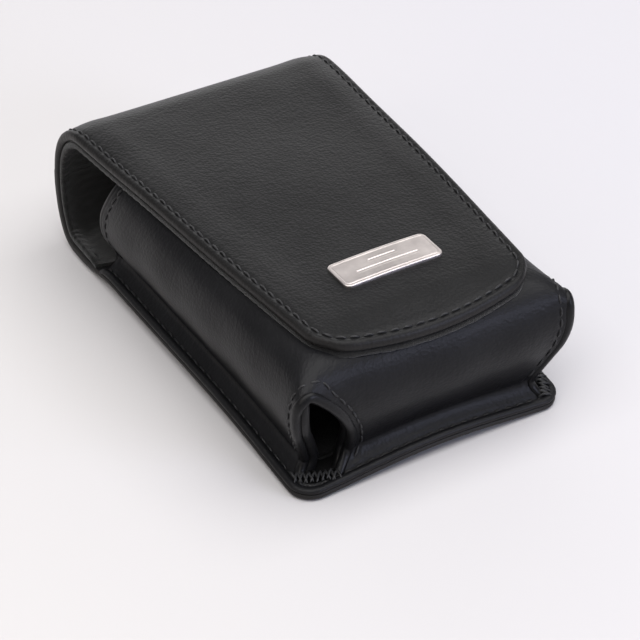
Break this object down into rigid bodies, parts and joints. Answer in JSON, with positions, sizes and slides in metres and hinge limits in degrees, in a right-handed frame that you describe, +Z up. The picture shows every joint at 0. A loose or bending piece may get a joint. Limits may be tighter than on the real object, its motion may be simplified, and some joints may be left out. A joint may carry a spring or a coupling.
{
  "type": "leather ever ready case",
  "caption": "Black leather belt case for a compact camera: a padded pouch with keyhole corners, and a spine and flap that fold over its front, with a metal label plate.",
  "frame": {"origin": "centre of the case's outer box at the level it lies on, the underside of the belt loop", "axes": "+Z up through the flap, +Y towards the spine, +X to the right as the flap's tip faces the viewer"},
  "size_m": [0.0754, 0.1231, 0.0408],
  "materials": {
    "smooth_leather": "smooth black grain leather with a soft sheen",
    "rim_leather": "turned black leather edge, slightly glossier",
    "suede": "black suede, matt",
    "board": "grey fibre board",
    "foam": "thin dark foam",
    "thread": "black polyester thread, twisted",
    "label_metal": "satin warm silver, brushed",
    "steel": "plain steel"
  },
  "bodies": {
    "pouch": {"back_panel": "smooth_leather", "back_board": "board", "back_lining": "suede", "pouch_shell": "smooth_leather", "pouch_padding": "foam", "pouch_lining": "suede", "front_board": "board", "keeper_disc": "steel", "mouth_facing": "rim_leather", "keyhole_binding_left": "rim_leather", "keyhole_binding_right": "rim_leather", "belt_loop": "smooth_leather", "flange_thread": "thread", "mouth_thread": "thread", "keyhole_thread_left": "thread", "keyhole_thread_right": "thread", "bar_tack_left": "thread", "bar_tack_right": "thread", "belt_loop_thread": "thread"},
    "spine": {"spine_leather": "smooth_leather", "spine_lining": "suede", "spine_edge_thread": "thread"},
    "flap": {"flap_leather": "smooth_leather", "flap_board": "board", "flap_lining": "suede", "flap_magnet": "steel", "label_plate": "label_metal", "label_retainers": "steel", "flap_edge_thread": "thread"}
  },
  "joints": [
    {"name": "spine_fold", "type": "hinge", "parent": "pouch", "child": "spine", "pos_m": [0, 0.05509, 0.00465], "axis": [-1, 0, 0], "range_deg": [0, 80]},
    {"name": "flap_fold", "type": "hinge", "parent": "spine", "child": "flap", "pos_m": [0, 0.05405, 0.0388], "axis": [-1, 0, 0], "range_deg": [0, 100]}
  ]
}
